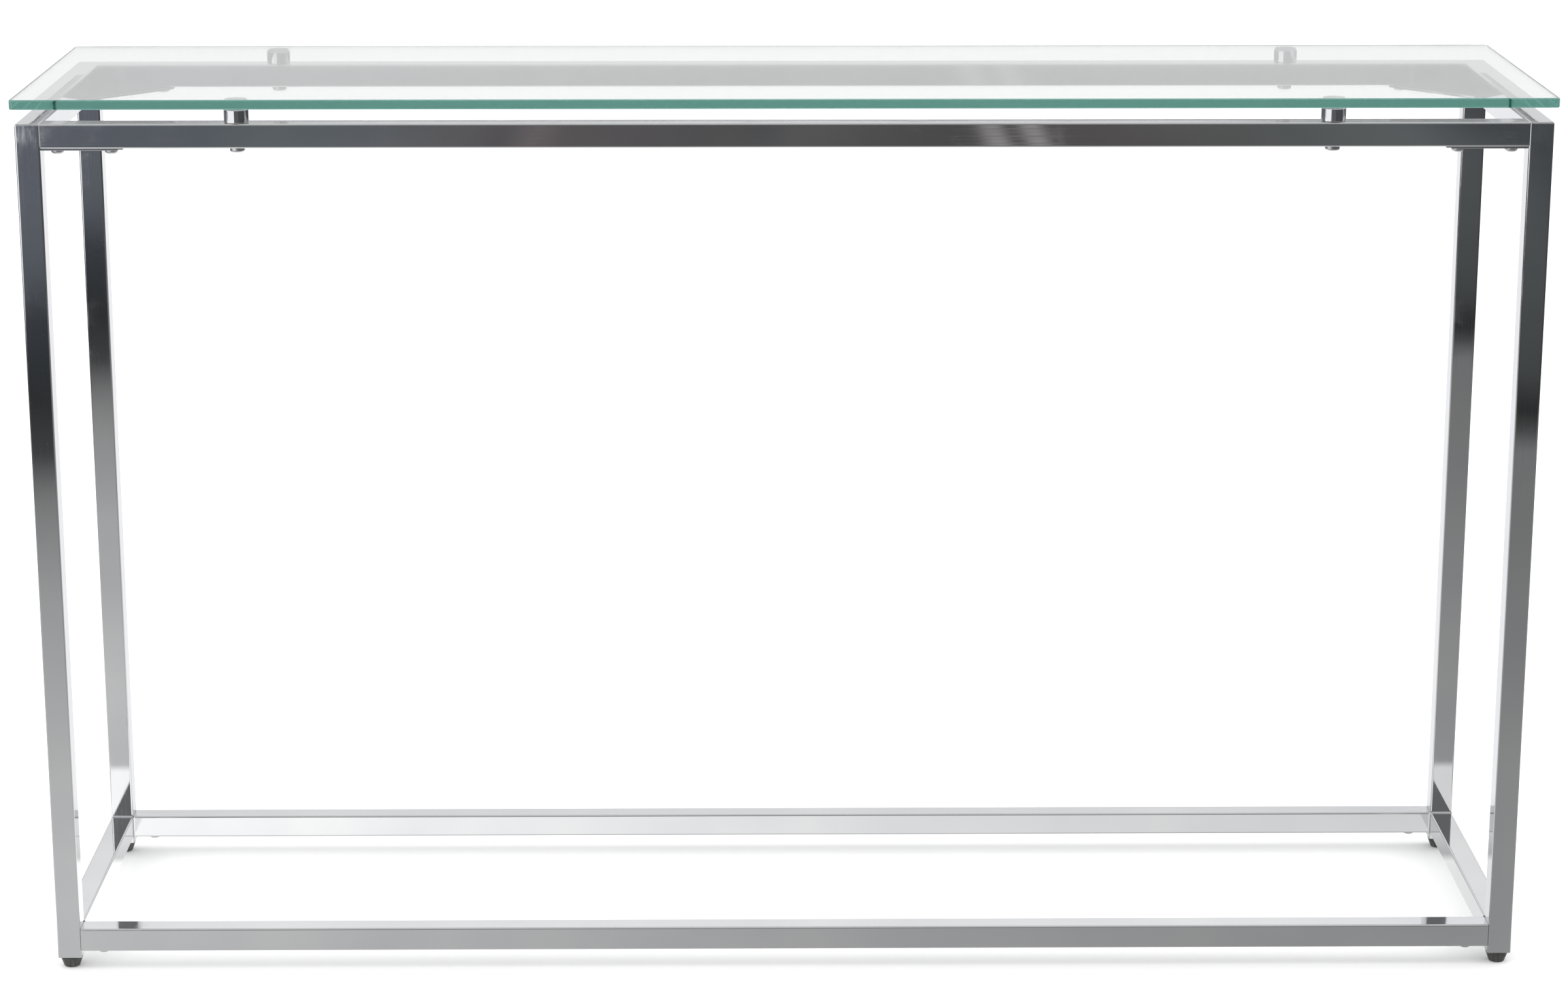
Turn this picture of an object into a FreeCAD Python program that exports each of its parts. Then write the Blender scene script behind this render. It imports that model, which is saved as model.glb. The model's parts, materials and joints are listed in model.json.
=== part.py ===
"""Console table: a clear glass top on a frame of chromed square tube, in millimetres.

+X runs to the right along the table, +Y to the back and +Z up. The origin is on the floor,
under the middle of the table.

The frame comes apart into two welded end frames and four long rails. Corner plates and
screws hold the top rails. The bottom rails slide over spigots on the legs.
"""
import FreeCAD, Part
import math
import os

Vector = FreeCAD.Vector

# Whole table
GLASS_LENGTH = 1250.0
GLASS_DEPTH = 310.0
TABLE_HEIGHT = 748.0

# Glass
GLASS_THICKNESS = 8.0
GLASS_OVERHANG = 3.0  # past the frame, on every side
GLASS_CORNER_RADIUS = 3.0
GLASS_ARRIS = 1.0

# Square tube of the frame
TUBE_SIZE = 20.0
TUBE_WALL = 1.2
TUBE_CORNER_RADIUS = 1.6

# Stand-offs between the top rails and the glass
STANDOFF_SPACING = 888.0  # along X, centre to centre
STANDOFF_RADIUS = 10.0
STANDOFF_HEIGHT = 11.0
STANDOFF_CHAMFER = 0.6
BOND_THICKNESS = 1.0
BOND_RADIUS = 9.0

# Levelling feet
FOOT_HEIGHT = 10.0
FOOT_TOP_RADIUS = 10.0
FOOT_BOTTOM_RADIUS = 6.5
FOOT_EDGE_RADIUS = 1.2
FOOT_SEAM = 0.2  # gap under the leg when the foot is screwed right in
GRIP_COUNT = 12
GRIP_RADIUS = 1.0
STEM_RADIUS = 4.0
STEM_CHAMFER = 0.8
STEM_TOP = 34.0
STEM_BOTTOM = 3.0

# Inserts in the leg ends
INSERT_HEIGHT = 22.0
INSERT_FIT = 0.1  # gap to the tube wall, each side
NUT_ACROSS_FLATS = 13.0
NUT_HEIGHT = 6.5
NUT_CLEARANCE = 0.08  # radial, round the stem
STEM_PASSAGE = 0.3  # radial, round the stem, in the plastic

# Bottom rails
LOW_RAIL_DROP = 6.0  # from the rail's underside down to the leg's end
SPIGOT_LENGTH = 32.0
SPIGOT_FIT = 0.2
SPIGOT_SCREW_INSET = 18.0  # from the leg's inner face

# Corner plates under the top frame
PLATE_REACH = 66.0  # from the leg's inner face
PLATE_THICKNESS = 2.0
PLATE_INSET = 2.5  # from the outer face of the rails
PLATE_CORNER_RADIUS = 4.0
PLATE_SCREW_INSETS = (12.5, 56.0)  # from the leg's inner face

# M6 fasteners, with plain shanks and bores in place of threads
SCREW_RADIUS = 3.0
CLEARANCE_HOLE_RADIUS = 3.3
THREAD_GAP = 0.1  # radial, between a shank and its threaded bore
BUTTON_HEAD_RADIUS = 5.25
BUTTON_HEAD_HEIGHT = 3.3
BUTTON_HEAD_ROUND = 2.4  # radius of the head's rounded rim
SOCKET_ACROSS_FLATS = 4.0
SOCKET_DEPTH = 2.0
PLATE_SCREW_LENGTH = 14.0
SPIGOT_SCREW_LENGTH = 12.0
PAN_HEAD_RADIUS = 6.0
PAN_HEAD_HEIGHT = 4.0
PAN_HEAD_ROUND = 1.6
CROSS_LENGTH = 6.0
CROSS_WIDTH = 1.2
CROSS_DEPTH = 2.0
STANDOFF_SCREW_GRIP = 7.0  # length in the stand-off
STANDOFF_BORE_DEPTH = 9.0
RIVET_NUT_RADIUS = 4.5
RIVET_NUT_LENGTH = 12.0
RIVET_BULGE_RADIUS = 6.0
RIVET_BULGE_HEIGHT = 3.0
HOLE_MARGIN = 1.0  # how far a cutting tool runs past the faces it cuts

# Tests that pick out edges
PLACE_TOLERANCE = 0.01
PARALLEL = 0.99  # least cosine of two directions that count as parallel

# Planes and lines that follow from the sizes above
GLASS_BOTTOM = TABLE_HEIGHT - GLASS_THICKNESS
STANDOFF_TOP = GLASS_BOTTOM - BOND_THICKNESS
FRAME_TOP = STANDOFF_TOP - STANDOFF_HEIGHT
TOP_RAIL_BOTTOM = FRAME_TOP - TUBE_SIZE
LOW_RAIL_BOTTOM = FOOT_HEIGHT + LOW_RAIL_DROP
FRAME_HALF_X = GLASS_LENGTH / 2 - GLASS_OVERHANG
FRAME_HALF_Y = GLASS_DEPTH / 2 - GLASS_OVERHANG
LEG_X = FRAME_HALF_X - TUBE_SIZE / 2
LEG_Y = FRAME_HALF_Y - TUBE_SIZE / 2
LEG_INNER_X = FRAME_HALF_X - TUBE_SIZE
LEG_INNER_Y = FRAME_HALF_Y - TUBE_SIZE
TOP_RAIL_Z = FRAME_TOP - TUBE_SIZE / 2
LOW_RAIL_Z = LOW_RAIL_BOTTOM + TUBE_SIZE / 2
BORE_SIZE = TUBE_SIZE - 2 * TUBE_WALL
BORE_CORNER_RADIUS = TUBE_CORNER_RADIUS - TUBE_WALL
THREADED_BORE_RADIUS = SCREW_RADIUS + THREAD_GAP

# Side of the table for each named corner: x, then y
CORNERS = {
    "front_left": (-1, -1),
    "front_right": (1, -1),
    "rear_left": (-1, 1),
    "rear_right": (1, 1),
}


def square_bar(start, end, size, corner_radius):
    """Solid square bar between two points on a line parallel to one axis."""
    run = end - start
    half = size / 2
    across = Vector(*[0 if abs(part) > 0 else half for part in run])
    low = Vector(*[min(pair) for pair in zip(start, end)]) - across
    high = Vector(*[max(pair) for pair in zip(start, end)]) + across
    bar = Part.makeBox(high.x - low.x, high.y - low.y, high.z - low.z, low)
    direction = run.normalize()
    long_edges = [
        edge for edge in bar.Edges
        if abs(edge.tangentAt(edge.FirstParameter).dot(direction)) > PARALLEL
    ]
    return bar.makeFillet(corner_radius, long_edges)


def square_tube(start, end):
    """Frame tube between two points on its centre line, open at both ends."""
    outside = square_bar(start, end, TUBE_SIZE, TUBE_CORNER_RADIUS)
    margin = (end - start).normalize() * HOLE_MARGIN
    inside = square_bar(start - margin, end + margin, BORE_SIZE, BORE_CORNER_RADIUS)
    return outside.cut(inside)


def rod(x, y, z_low, z_high, radius):
    """Upright cylinder."""
    return Part.makeCylinder(radius, z_high - z_low, Vector(x, y, z_low))


def prism(points, normal, length):
    """Flat outline pushed along a direction."""
    closed = points + points[:1]
    return Part.Face(Part.makePolygon(closed)).extrude(normal * length)


def hexagon(across_flats, x, y, z_low, height):
    """Upright hexagonal prism."""
    reach = across_flats / math.sqrt(3)
    turns = [math.radians(60 * step) for step in range(6)]
    points = [Vector(x + reach * math.cos(t), y + reach * math.sin(t), z_low) for t in turns]
    return prism(points, Vector(0, 0, 1), height)


def upright_edges(shape):
    """Straight edges of a shape that run along Z."""
    lines = [edge for edge in shape.Edges if isinstance(edge.Curve, Part.Line)]
    return [edge for edge in lines if abs(edge.tangentAt(edge.FirstParameter).z) > PARALLEL]


def at_corner(shape, side_x, side_y):
    """Copy of a piece modelled at the front left corner, mirrored to another corner."""
    moved = shape
    if side_x > 0:
        moved = moved.mirror(Vector(0, 0, 0), Vector(1, 0, 0))
    if side_y > 0:
        moved = moved.mirror(Vector(0, 0, 0), Vector(0, 1, 0))
    return moved


def at_every_corner(shapes):
    """Group of the same pieces at all four corners."""
    copies = [at_corner(shape, *sides) for sides in CORNERS.values() for shape in shapes]
    return Part.makeCompound(copies)


def glass_top():
    """Clear sheet with round corners and a ground arris on both faces."""
    low = Vector(-GLASS_LENGTH / 2, -GLASS_DEPTH / 2, GLASS_BOTTOM)
    sheet = Part.makeBox(GLASS_LENGTH, GLASS_DEPTH, GLASS_THICKNESS, low)
    sheet = sheet.makeFillet(GLASS_CORNER_RADIUS, upright_edges(sheet))
    rims = [
        edge for edge in sheet.Edges
        if abs(edge.CenterOfMass.z - GLASS_BOTTOM) < PLACE_TOLERANCE
        or abs(edge.CenterOfMass.z - TABLE_HEIGHT) < PLACE_TOLERANCE
    ]
    return sheet.makeChamfer(GLASS_ARRIS, rims)


def mitre_wedge(cuts_leg):
    """Corner block on one side of the mitre between a front leg and a top side rail."""
    outer_top = Vector(-FRAME_HALF_X - HOLE_MARGIN, -FRAME_HALF_Y, FRAME_TOP)
    inner_low = Vector(outer_top.x, -LEG_INNER_Y, TOP_RAIL_BOTTOM)
    if cuts_leg:
        third = Vector(outer_top.x, inner_low.y, outer_top.z)
    else:
        third = Vector(outer_top.x, outer_top.y, inner_low.z)
    return prism([outer_top, inner_low, third], Vector(1, 0, 0), TUBE_SIZE + 2 * HOLE_MARGIN)


def leg():
    """Front left leg, mitred at the top into its side rail."""
    foot_end = Vector(-LEG_X, -LEG_Y, FOOT_HEIGHT)
    top_end = Vector(-LEG_X, -LEG_Y, FRAME_TOP)
    return square_tube(foot_end, top_end).cut(mitre_wedge(cuts_leg=True))


def top_side_rail():
    """Left top side rail, mitred at both ends into the legs."""
    front_end = Vector(-LEG_X, -FRAME_HALF_Y, TOP_RAIL_Z)
    rear_end = Vector(-LEG_X, FRAME_HALF_Y, TOP_RAIL_Z)
    wedge = mitre_wedge(cuts_leg=False)
    return square_tube(front_end, rear_end).cut(wedge).cut(at_corner(wedge, -1, 1))


def bottom_side_rail():
    """Left bottom side rail, butt welded between the legs."""
    front_end = Vector(-LEG_X, -LEG_INNER_Y, LOW_RAIL_Z)
    rear_end = Vector(-LEG_X, LEG_INNER_Y, LOW_RAIL_Z)
    return square_tube(front_end, rear_end)


def plate_screw_places():
    """X positions of the screws that hold the front left corner plate to the rail."""
    return [-LEG_INNER_X + inset for inset in PLATE_SCREW_INSETS]


def front_rail_tube(z):
    """Plain tube between the two front legs, with its centre line at that height."""
    left_end = Vector(-LEG_INNER_X, -LEG_Y, z)
    right_end = Vector(LEG_INNER_X, -LEG_Y, z)
    return square_tube(left_end, right_end)


def top_rail():
    """Front top rail, drilled for its stand-off screws and its rivet nuts."""
    rail = front_rail_tube(TOP_RAIL_Z)
    low = TOP_RAIL_BOTTOM - HOLE_MARGIN
    holes = [rod(-STANDOFF_SPACING / 2, -LEG_Y, low, FRAME_TOP + HOLE_MARGIN, CLEARANCE_HOLE_RADIUS)]
    for x in plate_screw_places():
        holes.append(rod(x, -LEG_Y, low, TOP_RAIL_Z, RIVET_NUT_RADIUS))
    for hole in holes:
        rail = rail.cut(hole).cut(at_corner(hole, 1, -1))
    return rail


def bottom_rail():
    """Front bottom rail, drilled underneath for its two locking screws."""
    rail = front_rail_tube(LOW_RAIL_Z)
    x = -LEG_INNER_X + SPIGOT_SCREW_INSET
    hole = rod(x, -LEG_Y, LOW_RAIL_BOTTOM - HOLE_MARGIN, LOW_RAIL_Z, CLEARANCE_HOLE_RADIUS)
    return rail.cut(hole).cut(at_corner(hole, 1, -1))


def spigot():
    """Block welded to the front left leg, inside the end of the front bottom rail."""
    leg_end = Vector(-LEG_INNER_X, -LEG_Y, LOW_RAIL_Z)
    free_end = leg_end + Vector(SPIGOT_LENGTH, 0, 0)
    block = square_bar(leg_end, free_end, BORE_SIZE - 2 * SPIGOT_FIT, BORE_CORNER_RADIUS)
    x = leg_end.x + SPIGOT_SCREW_INSET
    return block.cut(rod(x, -LEG_Y, LOW_RAIL_BOTTOM, LOW_RAIL_Z + TUBE_SIZE, THREADED_BORE_RADIUS))


def corner_plate():
    """Gusset under the front left corner of the top frame, welded to the end frame."""
    z = TOP_RAIL_BOTTOM - PLATE_THICKNESS
    outer_x = -FRAME_HALF_X + PLATE_INSET
    outer_y = -FRAME_HALF_Y + PLATE_INSET
    reach_x = -LEG_INNER_X + PLATE_REACH
    reach_y = -LEG_INNER_Y + PLATE_REACH
    outline = [
        Vector(-LEG_INNER_X, outer_y, z),
        Vector(reach_x, outer_y, z),
        Vector(reach_x, -LEG_INNER_Y, z),
        Vector(-LEG_INNER_X, reach_y, z),
        Vector(outer_x, reach_y, z),
        Vector(outer_x, -LEG_INNER_Y, z),
        Vector(-LEG_INNER_X, -LEG_INNER_Y, z),
    ]
    plate = prism(outline, Vector(0, 0, 1), PLATE_THICKNESS)
    free_corners = [
        edge for edge in upright_edges(plate)
        if edge.CenterOfMass.x > reach_x - PLACE_TOLERANCE
        or edge.CenterOfMass.y > reach_y - PLACE_TOLERANCE
    ]
    plate = plate.makeFillet(PLATE_CORNER_RADIUS, free_corners)
    for x in plate_screw_places():
        top = TOP_RAIL_BOTTOM + HOLE_MARGIN
        plate = plate.cut(rod(x, -LEG_Y, z - HOLE_MARGIN, top, CLEARANCE_HOLE_RADIUS))
    return plate


def edges_below(shape, z):
    """Edges of a shape that lie wholly below a height."""
    return [edge for edge in shape.Edges if edge.BoundBox.ZMax < z]


def button_screw(x, y, seat_z, length):
    """Button-head socket screw driven upwards, with its head under a face at seat_z."""
    head_low = seat_z - BUTTON_HEAD_HEIGHT
    head = rod(x, y, head_low, seat_z, BUTTON_HEAD_RADIUS)
    head = head.makeFillet(BUTTON_HEAD_ROUND, edges_below(head, head_low + PLACE_TOLERANCE))
    head = head.cut(hexagon(SOCKET_ACROSS_FLATS, x, y, head_low, SOCKET_DEPTH))
    return head.fuse(rod(x, y, seat_z, seat_z + length, SCREW_RADIUS)).removeSplitter()


def plate_screws():
    """Screws through the front left corner plate."""
    seat = TOP_RAIL_BOTTOM - PLATE_THICKNESS
    return [button_screw(x, -LEG_Y, seat, PLATE_SCREW_LENGTH) for x in plate_screw_places()]


def spigot_screw():
    """Locking screw under the left end of the front bottom rail."""
    x = -LEG_INNER_X + SPIGOT_SCREW_INSET
    return button_screw(x, -LEG_Y, LOW_RAIL_BOTTOM, SPIGOT_SCREW_LENGTH)


def rivet_nuts():
    """Threaded sleeves set in the underside of the front top rail, left end."""
    low = TOP_RAIL_BOTTOM
    high = low + RIVET_NUT_LENGTH
    wall_top = low + TUBE_WALL
    nuts = []
    for x in plate_screw_places():
        sleeve = rod(x, -LEG_Y, low, high, RIVET_NUT_RADIUS - THREAD_GAP)
        bulge = rod(x, -LEG_Y, wall_top, wall_top + RIVET_BULGE_HEIGHT, RIVET_BULGE_RADIUS)
        bore = rod(x, -LEG_Y, low - HOLE_MARGIN, high + HOLE_MARGIN, THREADED_BORE_RADIUS)
        nuts.append(sleeve.fuse(bulge).cut(bore).removeSplitter())
    return nuts


def standoff():
    """Round spacer on the front top rail, left, with a blind threaded bore."""
    x = -STANDOFF_SPACING / 2
    body = rod(x, -LEG_Y, FRAME_TOP, STANDOFF_TOP, STANDOFF_RADIUS)
    rims = [edge for edge in body.Edges if isinstance(edge.Curve, Part.Circle)]
    body = body.makeChamfer(STANDOFF_CHAMFER, rims)
    bore_low = FRAME_TOP - HOLE_MARGIN
    return body.cut(rod(x, -LEG_Y, bore_low, FRAME_TOP + STANDOFF_BORE_DEPTH, THREADED_BORE_RADIUS))


def bond_disc():
    """Clear disc that bonds the left front stand-off to the glass."""
    return rod(-STANDOFF_SPACING / 2, -LEG_Y, STANDOFF_TOP, GLASS_BOTTOM, BOND_RADIUS)


def standoff_screw():
    """Pan-head cross-recess screw up through the front top rail, left."""
    x = -STANDOFF_SPACING / 2
    head_low = TOP_RAIL_BOTTOM - PAN_HEAD_HEIGHT
    head = rod(x, -LEG_Y, head_low, TOP_RAIL_BOTTOM, PAN_HEAD_RADIUS)
    head = head.makeFillet(PAN_HEAD_ROUND, edges_below(head, head_low + PLACE_TOLERANCE))
    for length, width in ((CROSS_LENGTH, CROSS_WIDTH), (CROSS_WIDTH, CROSS_LENGTH)):
        low = Vector(x - length / 2, -LEG_Y - width / 2, head_low)
        head = head.cut(Part.makeBox(length, width, CROSS_DEPTH, low))
    shank = rod(x, -LEG_Y, TOP_RAIL_BOTTOM, FRAME_TOP + STANDOFF_SCREW_GRIP, SCREW_RADIUS)
    return head.fuse(shank).removeSplitter()


def leg_insert():
    """Plastic plug in the end of the front left leg, with a pocket for the nut."""
    low = Vector(-LEG_X, -LEG_Y, FOOT_HEIGHT)
    high = low + Vector(0, 0, INSERT_HEIGHT)
    plug = square_bar(low, high, BORE_SIZE - 2 * INSERT_FIT, BORE_CORNER_RADIUS)
    passage = rod(low.x, low.y, low.z - HOLE_MARGIN, high.z + HOLE_MARGIN, STEM_RADIUS + STEM_PASSAGE)
    pocket = hexagon(NUT_ACROSS_FLATS + 2 * INSERT_FIT, low.x, low.y, high.z - NUT_HEIGHT, NUT_HEIGHT)
    return plug.cut(passage).cut(pocket)


def insert_nut():
    """Captive nut in the front left leg insert."""
    low = FOOT_HEIGHT + INSERT_HEIGHT - NUT_HEIGHT
    body = hexagon(NUT_ACROSS_FLATS, -LEG_X, -LEG_Y, low, NUT_HEIGHT)
    bore_low = low - HOLE_MARGIN
    bore_high = low + NUT_HEIGHT + HOLE_MARGIN
    return body.cut(rod(-LEG_X, -LEG_Y, bore_low, bore_high, STEM_RADIUS + NUT_CLEARANCE))


def foot_base():
    """Tapered plastic base of the front left foot, with finger grips round it."""
    height = FOOT_HEIGHT - FOOT_SEAM
    axis_point = Vector(-LEG_X, -LEG_Y, 0)
    cone = Part.makeCone(FOOT_BOTTOM_RADIUS, FOOT_TOP_RADIUS, height, axis_point)
    rims = [edge for edge in cone.Edges if isinstance(edge.Curve, Part.Circle)]
    base = cone.makeFillet(FOOT_EDGE_RADIUS, rims)
    lean = math.atan2(FOOT_TOP_RADIUS - FOOT_BOTTOM_RADIUS, height)
    for step in range(GRIP_COUNT):
        turn = 2 * math.pi * step / GRIP_COUNT
        outwards = Vector(math.cos(turn), math.sin(turn), 0)
        start = axis_point + outwards * (FOOT_BOTTOM_RADIUS + GRIP_RADIUS / 2)
        upwards = outwards * math.sin(lean) + Vector(0, 0, math.cos(lean))
        groove = Part.makeCylinder(GRIP_RADIUS, 2 * height, start, upwards)
        base = base.cut(groove)
    return base.cut(rod(-LEG_X, -LEG_Y, STEM_BOTTOM, FOOT_HEIGHT, STEM_RADIUS))


def foot_stem():
    """Steel stem moulded into the front left foot."""
    stem = rod(-LEG_X, -LEG_Y, STEM_BOTTOM, STEM_TOP, STEM_RADIUS)
    top_rim = [edge for edge in stem.Edges if edge.BoundBox.ZMin > STEM_TOP - PLACE_TOLERANCE]
    return stem.makeChamfer(STEM_CHAMFER, top_rim)


def every_piece():
    """All nodes of the table, by name."""
    pieces = {"glass_top": glass_top()}
    corner_pieces = {
        "leg": leg(),
        "spigot": spigot(),
        "corner_plate": corner_plate(),
        "standoff": standoff(),
        "bond_disc": bond_disc(),
        "leg_insert": leg_insert(),
        "insert_nut": insert_nut(),
        "foot_base": foot_base(),
        "foot_stem": foot_stem(),
    }
    for corner, sides in CORNERS.items():
        for name, shape in corner_pieces.items():
            pieces[f"{corner}_{name}"] = at_corner(shape, *sides)
    for side, side_x in (("left", -1), ("right", 1)):
        pieces[f"{side}_top_side_rail"] = at_corner(top_side_rail(), side_x, -1)
        pieces[f"{side}_bottom_side_rail"] = at_corner(bottom_side_rail(), side_x, -1)
    for side, side_y in (("front", -1), ("rear", 1)):
        pieces[f"{side}_top_rail"] = at_corner(top_rail(), -1, side_y)
        pieces[f"{side}_bottom_rail"] = at_corner(bottom_rail(), -1, side_y)
    pieces["corner_plate_screws"] = at_every_corner(plate_screws())
    pieces["corner_plate_rivet_nuts"] = at_every_corner(rivet_nuts())
    pieces["standoff_screws"] = at_every_corner([standoff_screw()])
    pieces["bottom_rail_screws"] = at_every_corner([spigot_screw()])
    return pieces


def main():
    os.makedirs("parts", exist_ok=True)
    for name, shape in every_piece().items():
        if not shape.isValid():
            raise ValueError(f"{name} isn't a valid shape")
        shape.exportStep(f"parts/{name}.step")
        print(f"{name}: {len(shape.Solids)} solids, {shape.Volume:.0f} mm3")


main()
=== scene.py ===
"""Looks of the console table: clear glass on a frame of chromed square tube.

Every length is in metres, in the frame of the CAD model: +X along the table, +Y to the back,
+Z up, and the origin on the floor under the middle of the table.
"""
import json
import math

import bmesh
import bpy
from mathutils import Matrix, Vector


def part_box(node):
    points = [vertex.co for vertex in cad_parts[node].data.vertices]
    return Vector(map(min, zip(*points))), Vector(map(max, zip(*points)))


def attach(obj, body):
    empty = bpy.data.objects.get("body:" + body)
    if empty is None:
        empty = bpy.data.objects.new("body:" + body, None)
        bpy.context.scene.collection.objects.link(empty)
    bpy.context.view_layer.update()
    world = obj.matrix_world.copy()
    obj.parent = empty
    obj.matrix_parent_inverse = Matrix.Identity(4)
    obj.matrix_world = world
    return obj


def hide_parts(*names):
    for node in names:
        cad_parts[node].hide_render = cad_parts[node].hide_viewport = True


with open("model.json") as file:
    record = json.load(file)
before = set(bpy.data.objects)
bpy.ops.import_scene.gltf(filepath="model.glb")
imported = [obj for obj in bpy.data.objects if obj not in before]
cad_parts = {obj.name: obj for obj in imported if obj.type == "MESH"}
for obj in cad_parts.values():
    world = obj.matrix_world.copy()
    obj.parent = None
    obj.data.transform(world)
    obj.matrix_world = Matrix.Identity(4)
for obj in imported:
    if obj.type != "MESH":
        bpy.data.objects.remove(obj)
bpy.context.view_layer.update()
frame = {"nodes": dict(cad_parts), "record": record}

MM = 0.001

# Camera
CAMERA_AIM = Vector((0.0, 0.0, 0.370))
CAMERA_DISTANCE = 3.255
CAMERA_AZIMUTH = -0.53  # degrees, to the left of straight ahead
CAMERA_ELEVATION = 14.94  # degrees
CAMERA_LENS = 85.8  # millimetres, on a 36 mm sensor

# Square tube
TUBE_WALL = 1.2 * MM
TUBE_CORNER_RADIUS = 1.6 * MM
TUBE_CORNER_STEPS = 8
EDGE_WEAR_START = 8.2 * MM  # from the tube's axis, where its edges begin to wear
EDGE_WEAR_FULL = 9.3 * MM
WELD_HEAT_REACH = 38.0 * MM  # how far from a joint the grinding and the heat left waves
TUBE_END_RADIUS = 0.35 * MM  # deburred edge of a square end
MITRE_RADIUS = 1.6 * MM  # outer corner of a mitre, ground round
MITRE_LEAD = 2.0 * MM  # how far back from the mitre its rings begin
MITRE_SEAM = 0.14 * MM  # depth of the hairline along a mitre

# Glass
GLASS_CORNER_RADIUS = 3.0 * MM
GLASS_ARRIS_RADIUS = 1.0 * MM

# Corner plates
PLATE_CORNER_RADIUS = 4.0 * MM
PLATE_EDGE_RADIUS = 0.4 * MM

# Stand-offs and their bonds
STANDOFF_EDGE = 0.6 * MM
BOND_GAP = 0.04 * MM  # keeps the bond's faces off the glass and the metal
BOND_HOLLOW = 0.35 * MM  # how far the bond's rim draws in
BOND_ROWS = 8

# Threaded stems
THREAD_PITCH = 1.25 * MM
THREAD_DEPTH = 0.6 * MM
THREAD_ROWS = 8  # rings for each turn of the thread
THREAD_STEPS = 40  # points round each ring
THREAD_STEEPNESS = 1.25  # over 1, so that the crests and roots come out flat
THREAD_CREST = 0.12  # what the crest's flat takes off the height, as a share of it

# Fillet welds at the ends of the bottom side rails
WELD_LEG = 1.5 * MM
WELD_ROOT = 0.3 * MM  # how far the weld's back lies in the metal
WELD_DRESSED = 0.8  # share of the weld that is ground away on the outside
WELD_UNEVENNESS = 0.12

# Weld beads between the corner plates and the side rails
BEAD_LENGTH = 16.0 * MM
BEAD_RADIUS = 1.7 * MM
BEAD_STARTS = (0.4, 2.1)  # from the plate's end, in bead lengths
BEAD_SINK = 0.35  # of its radius, below the plate's top
BEAD_FLATNESS = 0.75  # height over width
BEAD_RIPPLE = 1.6 * MM  # from one ripple to the next
BEAD_RIPPLE_HEIGHT = 0.10  # of its radius
BEAD_UNEVENNESS = 0.08
BEAD_ROWS = 48
BEAD_STEPS = 12

SAME_PLACE = 0.1 * MM  # points closer than this count as level or in line

CORNERS = ("front_left", "front_right", "rear_left", "rear_right")


# ---------------------------------------------------------------- node helpers

class Graph:
    """Adds nodes to a material's or world's tree."""

    def __init__(self, tree):
        self.tree = tree
        tree.nodes.clear()

    def node(self, kind, inputs=None, **settings):
        """One node. inputs maps a socket to a value, or to the output that feeds it."""
        made = self.tree.nodes.new("ShaderNode" + kind)
        for key, value in settings.items():
            setattr(made, key, value)
        for key, value in (inputs or {}).items():
            if isinstance(value, bpy.types.NodeSocket):
                self.tree.links.new(value, made.inputs[key])
            else:
                made.inputs[key].default_value = value
        return made

    def math(self, operation, *values):
        sockets = dict(enumerate(values))
        return self.node("Math", sockets, operation=operation).outputs[0]

    def coords(self, stretch=(1, 1, 1)):
        """The object's own coordinates, stretched along the axes."""
        source = self.node("TexCoord").outputs["Object"]
        return self.node("Mapping", {"Vector": source, "Scale": stretch}).outputs[0]

    def noise(self, coords, scale, detail=3.0, roughness=0.5):
        inputs = {"Vector": coords, "Scale": scale, "Detail": detail, "Roughness": roughness}
        return self.node("TexNoise", inputs).outputs["Fac"]

    def spread(self, value, low, high, to_low, to_high):
        """Maps low..high to to_low..to_high, smoothly and held at both ends."""
        inputs = {"Value": value, 1: low, 2: high, 3: to_low, 4: to_high}
        return self.node("MapRange", inputs, interpolation_type="SMOOTHSTEP").outputs[0]

    def ramp(self, value, stops):
        """Colour ramp. stops holds (place, grey or colour)."""
        made = self.node("ValToRGB", {"Fac": value})
        points = made.color_ramp.elements
        while len(points) < len(stops):
            points.new(1.0)
        for point, (place, colour) in zip(points, stops):
            grey = isinstance(colour, float)
            point.position = place
            point.color = (colour, colour, colour, 1) if grey else (*colour, 1)
        return made.outputs[0]

    def blend(self, factor, first, second, mode="MIX"):
        """Mixed colour."""
        made = self.node("Mix", data_type="RGBA", blend_type=mode)
        for socket, value in ((0, factor), (6, first), (7, second)):
            if isinstance(value, bpy.types.NodeSocket):
                self.tree.links.new(value, made.inputs[socket])
            elif isinstance(value, tuple):
                made.inputs[socket].default_value = (*value, 1)
            else:
                made.inputs[socket].default_value = value
        return made.outputs[2]

    def bump(self, height, distance, normal=None):
        """Bump of that full height, in metres."""
        inputs = {"Height": height, "Distance": distance, "Strength": 1.0}
        if normal is not None:
            inputs["Normal"] = normal
        return self.node("Bump", inputs).outputs[0]

    def surface(self, shader):
        self.tree.links.new(shader, self.node("OutputMaterial").inputs["Surface"])


def new_material(name):
    material = bpy.data.materials.new(name)
    material.use_nodes = True
    return material, Graph(material.node_tree)


def tube_edge_mask(graph):
    """1 on the rounded edges of a tube that lies along its own X axis, 0 on the flats."""
    parts = graph.node("SeparateXYZ", {0: graph.node("TexCoord").outputs["Object"]})
    across = [graph.math("ABSOLUTE", parts.outputs[axis]) for axis in (1, 2)]
    nearest = graph.math("MINIMUM", *across)
    return graph.spread(nearest, EDGE_WEAR_START, EDGE_WEAR_FULL, 0.0, 1.0)


def tube_end_mask(graph, length):
    """1 at both ends of a tube of that length along its own X axis, 0 past the welds' heat."""
    along = graph.node("SeparateXYZ", {0: graph.node("TexCoord").outputs["Object"]}).outputs[0]
    from_start = graph.math("MINIMUM", along, graph.math("SUBTRACT", length, along))
    return graph.spread(from_start, 0.0, WELD_HEAT_REACH, 1.0, 0.0)


# ---------------------------------------------------------------- materials

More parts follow.
